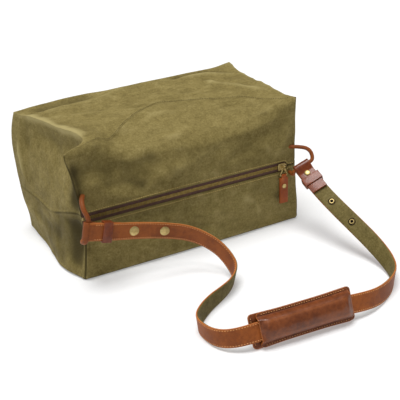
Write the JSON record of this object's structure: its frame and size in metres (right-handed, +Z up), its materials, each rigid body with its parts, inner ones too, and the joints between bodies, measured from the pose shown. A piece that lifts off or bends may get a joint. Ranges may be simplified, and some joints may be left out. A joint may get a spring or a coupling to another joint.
{
  "type": "satchel bag",
  "caption": "Boxy zipped canvas satchel bag with rolled-leather side loops and a leather shoulder strap with a sliding pad.",
  "frame": {"origin": "middle of the base, on the surface the bag stands on", "axes": "+X along the zipper towards the end where the slider rests, -Y out of the zipped front, +Z up"},
  "size_m": [0.393, 0.4969, 0.2],
  "materials": {
    "canvas": "waxed olive canvas",
    "lining": "plain cotton",
    "tape": "dark brown woven tape",
    "brass": "aged brass",
    "leather": "oiled orange-brown leather",
    "pad_leather": "darker glossy pull-up leather"
  },
  "bodies": {
    "bag": {"front_lower_panel": "canvas", "front_upper_panel": "canvas", "back_panel": "canvas", "base_panel": "canvas", "top_panel": "canvas", "left_end_lower_panel": "canvas", "left_end_upper_panel": "canvas", "right_end_lower_panel": "canvas", "right_end_upper_panel": "canvas", "lining": "lining", "zipper_tape_upper": "tape", "zipper_tape_lower": "tape", "zipper_teeth_upper": "brass", "zipper_teeth_lower": "brass", "zipper_top_stops": "brass", "zipper_bottom_stop": "brass", "strap_loop_left": "leather", "strap_loop_right": "leather"},
    "zip_slider": {"slider": "brass"},
    "zip_ring": {"pull_ring": "brass"},
    "zip_pull": {"pull_tab": "leather", "pull_rivet": "brass"},
    "strap": {"strap_leather": "leather", "strap_lining": "canvas", "strap_fold_left": "leather", "strap_fold_right": "leather", "snap_caps_left": "brass", "snap_caps_right": "brass", "snap_sockets_left": "brass", "snap_sockets_right": "brass"},
    "left_keeper": {"keeper_left": "leather"},
    "right_keeper": {"keeper_right": "leather"},
    "pad": {"pad_base": "pad_leather", "pad_crown": "pad_leather"}
  },
  "joints": [
    {"name": "zip_slide", "type": "slide", "parent": "bag", "child": "zip_slider", "axis": [-1, 0, 0], "range_m": [0, 0.315], "deforming": ["zipper_teeth_upper", "zipper_teeth_lower"]},
    {"name": "ring_swing", "type": "hinge", "parent": "zip_slider", "child": "zip_ring", "pos_m": [0.152, -0.1115, 0.0965], "axis": [-1, 0, 0], "range_deg": [0, 120]},
    {"name": "pull_swing", "type": "hinge", "parent": "zip_ring", "child": "zip_pull", "pos_m": [0.152, -0.1115, 0.0845], "axis": [-1, 0, 0], "range_deg": [0, 45]},
    {"name": "strap_lift", "type": "hinge", "parent": "bag", "child": "strap", "pos_m": [-0.1781, -0.1279, 0.0895], "axis": [-0.9996, -0.0028, -0.0272], "range_deg": [0, 90], "deforming": ["strap_loop_left", "strap_loop_right"]},
    {"name": "left_keeper_slide", "type": "slide", "parent": "strap", "child": "left_keeper", "axis": [0.9709, -0.0129, -0.2391], "range_m": [0, 0.008]},
    {"name": "right_keeper_slide", "type": "slide", "parent": "strap", "child": "right_keeper", "axis": [0.0357, -0.9118, -0.4092], "range_m": [0, 0.008]},
    {"name": "pad_slide", "type": "slide", "parent": "strap", "child": "pad", "axis": [0.9973, -0.0728, 0.0044], "range_m": [-0.002, 0.004]}
  ]
}
